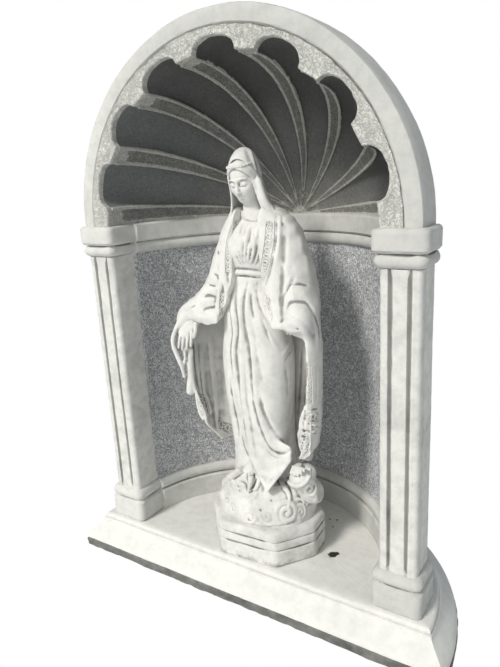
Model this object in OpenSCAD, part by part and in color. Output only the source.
// Wayside shrine of cast stone: a half-round niche with a fluted shell vault,
// reeded pilasters and a veiled standing figure on a cloud mound.
// Millimetres, +Z up, front towards -Y, origin under the middle of the base.

/* [Niche] */
// Outer radius of the arch and half the width over the pilasters
arch_r = 400; // [340:5:480]
// Height of the springing line above the floor of the niche
spring_h = 759; // [640:5:900]
// Width of the scalloped ring between the outer band and the rib faces
rim_w = 42; // [36:1:60]
// Thickness of the niche wall, and of the shell behind the rib faces
wall_t = 47; // [40:1:60]
// Depth of the arch band and of the pilasters, front to back
frame_depth = 70; // [60:1:110]
// Radial width of the plain outer band of the arch
band_w = 35; // [28:1:42]
// Number of flutes in the shell
flutes = 7; // [5:2:9]
// Angle that one rib takes up, in degrees
rib_angle = 7.7; // [5:0.1:9]
// Depth of a flute behind the rib faces at the arch
flute_depth = 29; // [18:1:32]
// Thickness of the scalloped ring in front of the flutes
scallop_t = 14; // [8:1:24]
// Height of the raised fillets along each rib
rib_fillet = 4; // [2:0.5:6]
// Radius of the flat hub where the ribs meet
hub_r = 46; // [36:1:64]
// Number of wall segments
wall_segments = 5; // [3:2:7]

/* [Mouldings] */
// How far capitals, plinths and bands stand out from what they crown
moulding_out = 13; // [10:1:28]
// Height of the flat fascia of a capital
fascia_h = 42; // [30:1:56]
// Height of the half-round under the fascia
astragal_h = 28; // [20:1:36]
// Height of a plinth
plinth_h = 56; // [40:1:70]
// Height of the half-round on a plinth
base_roll_h = 30; // [20:1:38]
// Distance of the two grooves from the edges of a shaft
reed_w = 21; // [16:1:28]
// Width and depth of an incised groove
groove = 4; // [3:0.5:6]
// Corner rounding of capitals and plinths in plan
corner_r = 14; // [8:1:20]

/* [Base] */
// How far the half-round base stands out beyond the pilasters
base_out = 77; // [60:1:110]
// How far the straight front stands before the centre of that round
base_lip = 35; // [28:1:60]
// Distance of that centre before the face of the arch
base_shift = 27; // [10:1:40]
// Height of the whole base
base_h = 90; // [76:1:130]
// Height of the rough fascia at the foot of the base
foot_h = 27; // [20:1:36]
// Thickness of the floor slab on top
floor_t = 12; // [8:1:20]
// How far the foot stands out beyond the floor slab
base_slope = 40; // [20:1:50]

/* [Figure plinth] */
// Distance of the figure's axis behind the face of the arch
figure_back = 98; // [80:1:150]
// Distance of the figure's axis to the right of the middle
figure_right = 6; // [-20:1:20]
// Turn of the figure, in degrees
figure_turn = 4; // [-10:1:10]
// Width of the eight-sided plinth
oct_w = 270; // [240:1:300]
// Depth of the eight-sided plinth
oct_d = 216; // [200:1:240]
// Height of the eight-sided plinth
oct_h = 85; // [60:1:110]
// Height of the cloud mound above the plinth
mound_h = 76; // [60:1:90]

/* [Figure] */
// Height of the figure from the mound to the top of the veil
figure_h = 751; // [650:5:850]
// Half the width of the gown at the thighs
gown_w = 80; // [66:1:88]
// Half the depth of the gown at the thighs
gown_d = 62; // [50:1:68]
// Number of pleats round the gown
pleats = 13; // [9:2:17]
// Depth of a pleat
pleat_depth = 4; // [1:0.5:6]
// Half the width that the mantle is drawn for; its widest level takes nine tenths of it
mantle_w = 196; // [170:1:215]
// Thickness of the mantle where it hangs free
mantle_t = 9; // [7:0.5:14]
// Clearance between carved layers
seam = 0.4; // [0.3:0.1:0.8]

/* [Hidden] */
$fn = 64;
eps = 0.01;
spring_z = base_h + spring_h;
base_r = arch_r + base_out;
face_y = (base_lip - base_r) / 2 + base_shift;
ring_r = arch_r - band_w;
rib_r = ring_r - rim_w;
back_r = rib_r + wall_t;
flute_w = (180 - rib_angle) / flutes - rib_angle;
flute_pitch = flute_w + rib_angle;
impost_h = fascia_h + astragal_h;
foot_top = base_h + plinth_h + base_roll_h;
shaft_w = band_w + rim_w;
shaft_x = arch_r - shaft_w;
roll_r = rib_r - moulding_out;
vault_end = sqrt(rib_r * rib_r - hub_r * hub_r);
wall_half = asin(frame_depth / back_r);
stone = [0.83, 0.82, 0.78];
stone_dark = [0.55, 0.56, 0.55];
stone_wall = [0.64, 0.66, 0.68];
stone_light = [0.90, 0.89, 0.85];

// Helpers

// Flattens a list of lists by one level
function flat(rows) = [for (row = rows) for (item = row) item];
// Two triangles for the four corners of a patch
function patch(a, b, c, d) = [[a, b, c], [a, c, d]];
// Smooth step from 0 to 1
function ease(t) = let (c = min(1, max(0, t))) c * c * (3 - 2 * c);
// Value at x on a curve given by [x, value] knots, eased between them
function along(knots, x, i = 0) =
  i >= len(knots) - 1 ? knots[len(knots) - 1][1] :
  x <= knots[0][0] ? knots[0][1] :
  x <= knots[i + 1][0] ?
    knots[i][1] + (knots[i + 1][1] - knots[i][1])
      * ease((x - knots[i][0]) / (knots[i + 1][0] - knots[i][0])) :
  along(knots, x, i + 1);

// Closed solid between two grids of points of the same size
module between(outer, inner) {
  n = len(outer[0]);
  m = len(outer);
  far = n * m;
  points = concat(flat(outer), flat(inner));
  faces = concat(
    flat([for (j = [0 : m - 2]) for (i = [0 : n - 2])
      patch(j * n + i, (j + 1) * n + i, (j + 1) * n + i + 1, j * n + i + 1)]),
    flat([for (j = [0 : m - 2]) for (i = [0 : n - 2])
      patch(far + j * n + i + 1, far + (j + 1) * n + i + 1, far + (j + 1) * n + i, far + j * n + i)]),
    flat([for (i = [0 : n - 2]) patch(i, i + 1, far + i + 1, far + i)]),
    flat([for (i = [0 : n - 2])
      patch((m - 1) * n + i + 1, (m - 1) * n + i, far + (m - 1) * n + i, far + (m - 1) * n + i + 1)]),
    flat([for (j = [0 : m - 2]) patch((j + 1) * n, j * n, far + j * n, far + (j + 1) * n)]),
    flat([for (j = [0 : m - 2])
      patch(j * n + n - 1, (j + 1) * n + n - 1, far + (j + 1) * n + n - 1, far + j * n + n - 1)]));
  polyhedron(points = points, faces = faces, convexity = 6);
}

// Closed solid through rings of points, capped at both ends
module loft(rings) {
  n = len(rings[0]);
  m = len(rings);
  low = n * m;
  function middle(ring) = [for (k = [0 : 2]) let (s = [for (p = ring) p[k]]) sum(s) / len(s)];
  points = concat(flat(rings), [middle(rings[0]), middle(rings[m - 1])]);
  faces = concat(
    flat([for (j = [0 : m - 2]) for (i = [0 : n - 1])
      let (k = (i + 1) % n) patch(j * n + i, (j + 1) * n + i, (j + 1) * n + k, j * n + k)]),
    [for (i = [0 : n - 1]) [low, i, (i + 1) % n]],
    [for (i = [0 : n - 1]) [low + 1, (m - 1) * n + (i + 1) % n, (m - 1) * n + i]]);
  polyhedron(points = points, faces = faces, convexity = 6);
}
function sum(list, i = 0) = i >= len(list) ? 0 : list[i] + sum(list, i + 1);

// Frame of the niche: x across, y back from the face of the arch
module at_face() translate([0, face_y, 0]) children();
// Turns a revolved piece so that its axis runs back from the centre of the arch
module at_arch() at_face() translate([0, 0, spring_z]) rotate([-90, 0, 0]) children();
// Mirrors the right-hand pieces to the left
module on_side(side) mirror([side == "left" ? 1 : 0, 0, 0]) children();
// Half space behind the pilasters
module behind_frame() translate([-base_r, frame_depth, 0]) cube([2 * base_r, base_r, 2 * spring_z]);

// Base

// Solid of the half-round plan whose outline follows a profile of [inset, z]
module base_layer(profile) {
  top = profile[len(profile) - 1][1];
  low = profile[0][1];
  at_face() translate([0, -base_shift, 0]) intersection() {
    rotate_extrude($fn = 160)
      polygon(concat([[0, low]], [for (p = profile) [base_r - p[0], p[1]]], [[0, top]]));
    rotate([90, 0, 90]) translate([0, 0, -2 * base_r]) linear_extrude(4 * base_r)
      polygon(concat([[2 * base_r, low]], [for (p = profile) [p[0] - base_lip, p[1]]],
        [[2 * base_r, top]]));
  }
}
bead_z = base_h - floor_t;
cyma_ledge = 0.06;
function cyma(t) =
  [base_slope * (cyma_ledge + (1 - 2 * cyma_ledge) * ease(t)), foot_h + (bead_z - foot_h) * t];
module base_foot() color(stone_dark) base_layer([[0, 0], [0, foot_h]]);
module base_moulding() color(stone_light)
  base_layer([for (k = [0 : 6]) cyma(k / 6)]);
module floor_slab() color(stone_light)
  base_layer([[base_slope, bead_z], [base_slope, base_h]]);

// Pilasters

// Rounded plan of a capital or plinth, grown by a step
module block_plan(step) {
  x0 = shaft_x - step;
  x1 = arch_r + step;
  difference() {
    offset(r = corner_r) offset(delta = -corner_r)
      translate([x0, -step]) square([x1 - x0, frame_depth + step + corner_r]);
    translate([x0 - 1, frame_depth]) square([x1 - x0 + 2, 2 * corner_r]);
  }
}
// Half-round moulding over the rounded plan, as thin steps along a circle
module roll(step, h) {
  bulge = h / 2;
  layers = 6;
  for (k = [0 : layers - 1]) {
    a = -90 + 180 * (k + 0.5) / layers;
    z0 = bulge * (1 + sin(-90 + 180 * k / layers));
    z1 = bulge * (1 + sin(-90 + 180 * (k + 1) / layers));
    translate([0, 0, z0]) linear_extrude(z1 - z0) block_plan(step - bulge * (1 - cos(a)));
  }
}
module plinth(side) color(stone_light) on_side(side) at_face() {
  translate([0, 0, base_h]) linear_extrude(plinth_h) block_plan(moulding_out);
  translate([0, 0, base_h + plinth_h]) roll(moulding_out, base_roll_h);
}
module left_plinth() plinth("left");
module right_plinth() plinth("right");

// V-shaped groove of a given length, open towards -Y
module v_groove(length) linear_extrude(length)
  polygon([[-groove / 2, -eps], [groove / 2, -eps], [0, groove * 0.8]]);
module shaft(side) color(stone) on_side(side) at_face() translate([0, 0, foot_top]) {
  h = spring_z - impost_h - foot_top;
  difference() {
    translate([shaft_x, 0, 0]) cube([shaft_w, frame_depth, h]);
    for (x = [shaft_x + reed_w, arch_r - reed_w])
      translate([x, 0, -1]) v_groove(h + 2);
    translate([arch_r, frame_depth / 2, -1]) rotate([0, 0, 90]) v_groove(h + 2);
  }
}
module left_shaft() shaft("left");
module right_shaft() shaft("right");

module capital(side) color(stone_light) on_side(side) at_face() {
  translate([0, 0, spring_z - impost_h]) roll(moulding_out - groove / 2, astragal_h);
  translate([0, 0, spring_z - fascia_h]) linear_extrude(fascia_h) block_plan(moulding_out);
}
module left_capital() capital("left");
module right_capital() capital("right");

// Curved wall

// Wall sector between two angles, cut off behind the pilasters
module wall_sector(k) {
  step = 180 / wall_segments;
  at_face() intersection() {
    rotate_extrude(start = k * step, angle = step, $fn = 160)
      translate([rib_r, foot_top]) square([back_r - rib_r, spring_z - impost_h - foot_top]);
    behind_frame();
  }
}
module wall_piece(k) color(stone_wall) wall_sector(k);
module wall_1() wall_piece(0);
module wall_2() wall_piece(1);
module wall_3() wall_piece(2);
module wall_4() wall_piece(3);
module wall_5() wall_piece(4);

// Half ring swept round the wall, with a flat face and a half-round
module wall_moulding(flat_z, flat_h, roll_z, roll_h) at_face() intersection() {
  rotate_extrude(start = 0, angle = 180, $fn = 160) union() {
    translate([roll_r, flat_z]) square([back_r - roll_r, flat_h]);
    translate([roll_r + roll_h / 2, roll_z]) square([back_r - roll_r - roll_h / 2, roll_h]);
    translate([roll_r + roll_h / 2, roll_z + roll_h / 2]) circle(d = roll_h);
  }
  behind_frame();
}
module skirting() color(stone_light)
  wall_moulding(base_h, plinth_h, base_h + plinth_h, base_roll_h);
module impost_band() color(stone)
  wall_moulding(spring_z - fascia_h, fascia_h, spring_z - impost_h, astragal_h);

// Arch and shell

// Incised line round the arch band
module arch_band() color(stone) at_arch() difference() {
  rotate_extrude(start = 180, angle = 180, $fn = 160)
    translate([ring_r, 0]) square([band_w, frame_depth]);
  rotate_extrude(start = 180, angle = 180, $fn = 160)
    polygon([[ring_r - eps, -eps], [ring_r + groove / 2, -eps], [ring_r - eps, groove]]);
}

// Angle at a share u of the width of flute f
function flute_angle(f, u) = f * flute_pitch + rib_angle + flute_w * u;
// Share of its depth that a flute has at a share u of its width
function lobe(u) = pow(max(0, 1 - pow(abs(2 * u - 1), 2.4)), 0.5);

module scalloped_ring() color(stone_light)
  at_face() translate([0, scallop_t, spring_z]) rotate([90, 0, 0]) linear_extrude(scallop_t) {
    n = 14;
    edge = [for (f = [0 : flutes - 1]) for (i = [0 : n])
      let (a = flute_angle(f, i / n), r = rib_r + flute_depth * lobe(i / n))
      [r * cos(a), r * sin(a)]];
    polygon(concat([[rib_r, 0]], edge, [[-rib_r, 0]],
      [for (a = [180 : -4 : 0]) [ring_r * cos(a), ring_r * sin(a)]]));
  }

// Radius of the back of the shell at depth y
function back_at(y) = min(ring_r, sqrt(back_r * back_r - y * y));
// Depth of level j of the flutes, closer together towards the hub
vault_rows = 11;
function vault_y(j) = scallop_t + (vault_end - scallop_t) * sin(90 * j / vault_rows);

module shell_flute(f) {
  n = 9;
  function share(i) = 0.5 - 0.5 * cos(180 * i / n);
  inner = [for (j = [0 : vault_rows]) [for (i = [0 : n])
    let (y = vault_y(j), a = flute_angle(f, share(i)),
         r0 = sqrt(rib_r * rib_r - y * y),
         room = back_at(y) - r0,
         r = r0 + min(flute_depth * pow(r0 / rib_r, 0.6), 0.72 * room) * lobe(share(i)))
    [r * cos(a), y, r * sin(a)]]];
  outer = [for (j = [0 : vault_rows]) [for (i = [0 : n])
    let (y = vault_y(j), a = flute_angle(f, share(i)), r = back_at(y))
    [r * cos(a), y, r * sin(a)]]];
  color(stone_dark) at_face() translate([0, 0, spring_z]) between(outer, inner);
}
module shell_flute_1() shell_flute(0);
module shell_flute_2() shell_flute(1);
module shell_flute_3() shell_flute(2);
module shell_flute_4() shell_flute(3);
module shell_flute_5() shell_flute(4);
module shell_flute_6() shell_flute(5);
module shell_flute_7() shell_flute(6);

// Rib before flute k: a flat band with a raised fillet along each edge next to a flute
module rib(k) {
  a0 = k * flute_pitch;
  a1 = a0 + rib_angle;
  fillet = rib_angle / 6;
  slope = fillet / 4;
  raised = k > 0 ? [[a0, 1], [a0 + fillet - slope, 1], [a0 + fillet, 0]] : [[a0, 0]];
  lowered = k < flutes ? [[a1 - fillet, 0], [a1 - fillet + slope, 1], [a1, 1]] : [[a1, 0]];
  across = concat(raised, lowered);
  between(
    [for (j = [0 : vault_rows]) [for (p = across)
      let (y = vault_y(j), r = back_at(y)) [r * cos(p[0]), y, r * sin(p[0])]]],
    [for (j = [0 : vault_rows]) [for (p = across)
      let (y = vault_y(j), r0 = sqrt(rib_r * rib_r - y * y), r = r0 - rib_fillet * p[1] * r0 / rib_r)
      [r * cos(p[0]), y, r * sin(p[0])]]]);
}
module shell_ribs() color(stone) at_face() translate([0, 0, spring_z])
  for (k = [0 : flutes]) rib(k);

module shell_hub() color(stone_dark) at_arch()
  rotate_extrude(start = 180, angle = 180, $fn = 160) intersection() {
    circle(r = back_r, $fn = 160);
    translate([0, vault_end]) square([back_r, back_r]);
  }

// Figure

floor_to_mound = oct_h + mound_h;
module at_figure() at_face() translate([figure_right, figure_back, base_h])
  rotate([0, 0, figure_turn]) children();
// Height above the floor for a share of the figure's height
function up(share) = floor_to_mound + figure_h * share;

// Eight-sided plan; k is the share of full size
module oct_plan(k) {
  w = k * oct_w / 2;
  d = k * oct_d / 2;
  cx = 0.47 * w;
  cy = 0.7 * d;
  polygon([[w - cx, -d], [w, -d + cy], [w, d - cy], [w - cx, d],
    [cx - w, d], [-w, d - cy], [-w, cy - d], [cx - w, -d]]);
}
module figure_plinth() color(stone_light) at_figure() {
  lines = [0.48, 0.74];
  cut = 3;
  tops = concat([0], [for (l = lines) l * oct_h], [oct_h]);
  for (k = [0 : 2]) {
    translate([0, 0, tops[k]]) linear_extrude(tops[k + 1] - tops[k] - (k < 2 ? cut : 0))
      oct_plan(1 - (k == 0 ? 0 : 0.004));
    if (k < 2) translate([0, 0, tops[k + 1] - cut]) linear_extrude(cut) oct_plan(0.975);
  }
}

// Lumpy ring of the cloud mound at a share t of its height
function cloud_ring(t, n = 40) = [for (i = [0 : n - 1])
  let (a = 360 * i / n,
       swell = 1 + 0.035 * sin(7 * a + 200 * t) * (1 - t),
       k = sqrt(1 - 0.45 * pow(t, 3.2)))
  [0.48 * oct_w * k * swell * cos(a), 0.47 * oct_d * k * swell * sin(a), oct_h + mound_h * t]];
module cloud_mound() color(stone_light) at_figure()
  loft([for (j = [0 : 8]) cloud_ring(j / 8)]);

// Robes: half widths and half depths at shares of the figure's height
belt_ratio = 0.640;
belt_t = 0.016;
neck_ratio = 0.812;
gown_wide = [[0, 0.92], [0.12, 0.86], [0.4, 1.0], [0.52, 0.92], [belt_ratio, 0.68], [0.72, 0.8],
  [0.775, 0.82], [neck_ratio, 0.36]];
gown_deep = [[0, 1.0], [0.12, 0.9], [0.4, 1.0], [0.52, 0.9], [belt_ratio, 0.72], [0.72, 0.86],
  [0.775, 0.7], [neck_ratio, 0.4]];
gown_shift = [[0, 0.1], [0.3, -0.13], [0.5, -0.1], [belt_ratio, 0.03], [0.75, 0.16], [neck_ratio, 0.2]];
function gown_y(s) = gown_d * along(gown_shift, s);
function gown_r(a, s) =
  let (w = gown_w * along(gown_wide, s), d = gown_d * along(gown_deep, s),
       r = 1 / pow(pow(abs(cos(a)) / w, 2.3) + pow(abs(sin(a)) / d, 2.3), 1 / 2.3),
       fold = pleat_depth * (s < belt_ratio ? 1 - 0.6 * s : 0.35) * cos(pleats * a + 40 * sin(180 * s)))
  r + fold;
// Point round the figure's axis at an angle, a radius and a share of the height
function robe_point(a, r, s) = [r * cos(a), r * sin(a) + gown_y(s), up(s)];
// Radius just clear of the gown, which the layers over it start from
function over_gown(a, s) = gown_r(a, s) + pleat_depth + seam;
function gown_ring(s, n = 52) = [for (i = [0 : n - 1]) let (a = 360 * i / n) robe_point(a, gown_r(a, s), s)];

module gown() color(stone_light) at_figure()
  loft([for (j = [0 : 14]) gown_ring(belt_ratio * j / 14)]);
module belt() color(stone_light) at_figure()
  loft([for (z = [up(belt_ratio), up(belt_ratio + belt_t)])
    [for (p = gown_ring(belt_ratio, 32)) [p[0], p[1], z]]]);
module bodice() color(stone_light) at_figure()
  loft([for (j = [0 : 7])
    gown_ring(belt_ratio + belt_t + (neck_ratio - belt_ratio - belt_t) * j / 7)]);

// Mantle: a cape over shoulders and back that hangs from the forearms as two wings
mantle_open = 24;
mantle_ratio = 0.79;
wing_ratio = 0.51;
mantle_wide = [[0, 0.6], [0.12, 0.7], [0.21, 0.8], [0.32, 0.87], [0.42, 0.91], [0.49, 0.91],
  [0.587, 0.8], [0.68, 0.69], [0.763, 0.575], [mantle_ratio, 0.44]];
mantle_deep = [[0, 0.36], [0.12, 0.4], [0.32, 0.45], [0.49, 0.46], [0.6, 0.42], [0.763, 0.32],
  [mantle_ratio, 0.27]];
mantle_shift = [[0, -0.04], [0.2, -0.12], [0.42, -0.16], [0.5, -0.16], [0.62, -0.06], [0.763, 0.04]];
mantle_hem = [[-mantle_open, 0.2], [-8, 0.13], [12, 0.1], [40, 0.07], [90, 0.05]];
// Angle from the nearer side towards the back, or below 0 towards the front
function from_side(a) = a > 90 ? 180 - a : a;
// Outer radius of the mantle: an oval set forward of the axis, never thinner than mantle_t over the gown
function mantle_r(a, s) =
  let (w = mantle_w * along(mantle_wide, s), d = mantle_w * along(mantle_deep, s),
       c = mantle_w * along(mantle_shift, s) - gown_y(s),
       k = pow(cos(a) / w, 2) + pow(sin(a) / d, 2),
       h = c * sin(a) / (d * d),
       r = (h + sqrt(h * h - k * (c * c / (d * d) - 1))) / k,
       fold = pleat_depth * (0.5 + 0.5 * cos(17 * a + 60 * s)) * (1 - s))
  max(r, over_gown(a, s) + mantle_t) + fold;
// Inner radius: the gown at the back and over the arms, a thin plate in the wings
function mantle_in(a, s) =
  let (full = max(ease((from_side(a) - 8) / 26), ease((s - wing_ratio) / 0.05)),
       r = mantle_r(a, s))
  max(over_gown(a, s), r - mantle_t - (r - over_gown(a, s)) * full);
module mantle() {
  n = 40;
  m = 13;
  function angle(i) = -mantle_open + (180 + 2 * mantle_open) * i / n;
  function level(i, j) = let (low = along(mantle_hem, from_side(angle(i)))) low + (mantle_ratio - low) * j / m;
  color(stone) at_figure() between(
    [for (j = [0 : m]) [for (i = [0 : n])
      robe_point(angle(i), mantle_r(angle(i), level(i, j)), level(i, j))]],
    [for (j = [0 : m]) [for (i = [0 : n])
      robe_point(angle(i), mantle_in(angle(i), level(i, j)), level(i, j))]]);
}

// Sleeve: the mantle's front over the arm, from the edge at the chest to the hem before the hand
sleeve_ratio = 0.788;
sleeve_reach = [[0.46, 0.4], [0.52, 0.385], [0.6, 0.3], [0.7, 0.26], [sleeve_ratio, 0.2]];
sleeve_edge = [[0.46, -36], [0.53, -44], [0.6, -54], [0.66, -60], [sleeve_ratio, -62]];
hand_ratio = 0.51;
sleeve_hem = [[0, 0.52], [0.25, 0.525], [0.5, hand_ratio], [1, hand_ratio]];
module sleeve(side) {
  n = 9;
  m = 10;
  function level(i, j) = let (low = along(sleeve_hem, i / n)) low + (sleeve_ratio - low) * j / m;
  function angle(i, s) =
    let (first = along(sleeve_edge, s), last = -mantle_open - 0.3) first + (last - first) * i / n;
  function outer(a, s) =
    max(over_gown(a, s) + mantle_t,
      min(mantle_r(a, s), mantle_w * along(sleeve_reach, s) / abs(sin(a))));
  color(stone) at_figure() on_side(side) between(
    [for (j = [0 : m]) [for (i = [0 : n])
      let (s = level(i, j), a = angle(i, s)) robe_point(a, outer(a, s), s)]],
    [for (j = [0 : m]) [for (i = [0 : n])
      let (s = level(i, j), a = angle(i, s)) robe_point(a, over_gown(a, s), s)]]);
}
module left_sleeve() sleeve("left");
module right_sleeve() sleeve("right");

// Hand below the sleeve, palm forward with the fingers down
hand_out = mantle_w * 0.59;
hand_front = mantle_w * 0.34;
hand_l = 60;
module hand(side) color(stone_light) at_figure() on_side(side)
  translate([hand_out, -hand_front, up(hand_ratio) - seam - hand_l])
    loft([for (j = [0 : 5]) let (t = j / 5, w = hand_l * (0.16 + 0.12 * ease(t * 1.6) - 0.08 * t),
                                 d = hand_l * (0.08 + 0.06 * t))
      [for (i = [0 : 13]) let (a = 360 * i / 14)
        [w * cos(a) + hand_l * 0.25 * (1 - t), d * sin(a), hand_l * t]]]);
module left_hand() hand("left");
module right_hand() hand("right");

// Neck and head, tipped forward and to one side
head_ratio = 0.84;
head_x = -8;
head_y = -12;
neck_r = 19;
module neck() color(stone_light) at_figure()
  loft([for (t = [0, 0.5, 1]) let (z = up(neck_ratio) + (up(head_ratio) - up(neck_ratio)) * t)
    [for (i = [0 : 19]) let (a = 18 * i)
      [head_x * t + neck_r * cos(a), neck_r * (0.42 - 0.74 * t + 0.95 * sin(a)), z]]]);
head_h = 84;
head_rx = 33;
head_ry = 41;
head_wide = [[0, 0.42], [0.18, 0.7], [0.5, 1.0], [0.75, 0.94], [0.92, 0.6], [1, 0.25]];
module head() color(stone_light) at_figure()
  loft([for (j = [0 : 8]) let (t = j / 8, w = along(head_wide, t)) [for (i = [0 : 23]) let (a = 15 * i)
    [head_x + head_rx * w * cos(a), head_y + head_ry * w * sin(a), up(head_ratio) + head_h * t]]]);
veil_wide = [[0, 1.4], [0.3, 1.26], [0.75, 1.24], [1, 1.06], [1.25, 0.66], [1.34, 0.3]];
veil_open = 42;
veil_x = 40;
veil_y = 48;
veil_back = 7;
veil_gap = 1.4;
function veil_point(a, t, z) = let (w = along(veil_wide, t))
  [head_x + veil_x * w * cos(a), head_y + veil_back + veil_y * w * sin(a), z];
veil_low = up(neck_ratio) + seam;
veil_high = up(head_ratio) + head_h + seam;
module veil() {
  n = 30;
  m = 7;
  function angle(i) = -90 + veil_open + (360 - 2 * veil_open) * i / n;
  function level(j) = veil_low + (veil_high - veil_low) * j / m;
  color(stone) at_figure() between(
    [for (j = [0 : m]) [for (i = [0 : n]) veil_point(angle(i), j / m, level(j))]],
    [for (j = [0 : m]) [for (i = [0 : n]) let (a = angle(i))
      [head_x + (head_rx + veil_gap) * cos(a), head_y + (head_ry + veil_gap) * sin(a), level(j)]]]);
}
module veil_crown() {
  m = 4;
  rise = up(1) - veil_high;
  color(stone) at_figure() loft([for (j = [0 : m]) [for (i = [0 : 29])
    veil_point(12 * i, 1 + 0.34 * j / m, veil_high + rise * sin(90 * j / m))]]);
}

// Feet that show below the hem
foot_out = 34;
foot_w = 13;
foot_d = 10;
module foot(side) color(stone_light) at_figure() on_side(side)
  translate([foot_out, gown_y(0) - gown_d - pleat_depth - seam - foot_d, floor_to_mound])
    loft([for (j = [0 : 3]) let (t = j / 3, k = 1 - 0.5 * t * t)
      [for (i = [0 : 13]) let (a = 360 * i / 14) [foot_w * k * cos(a), foot_d * k * sin(a), foot_w * t]]]);
module left_foot() foot("left");
module right_foot() foot("right");

base_foot();
base_moulding();
floor_slab();
left_plinth();
right_plinth();
left_shaft();
right_shaft();
left_capital();
right_capital();
wall_1();
wall_2();
wall_3();
wall_4();
wall_5();
skirting();
impost_band();
arch_band();
scalloped_ring();
shell_flute_1();
shell_flute_2();
shell_flute_3();
shell_flute_4();
shell_flute_5();
shell_flute_6();
shell_flute_7();
shell_ribs();
shell_hub();
figure_plinth();
cloud_mound();
gown();
belt();
bodice();
neck();
head();
veil();
veil_crown();
mantle();
left_sleeve();
right_sleeve();
left_hand();
right_hand();
left_foot();
right_foot();
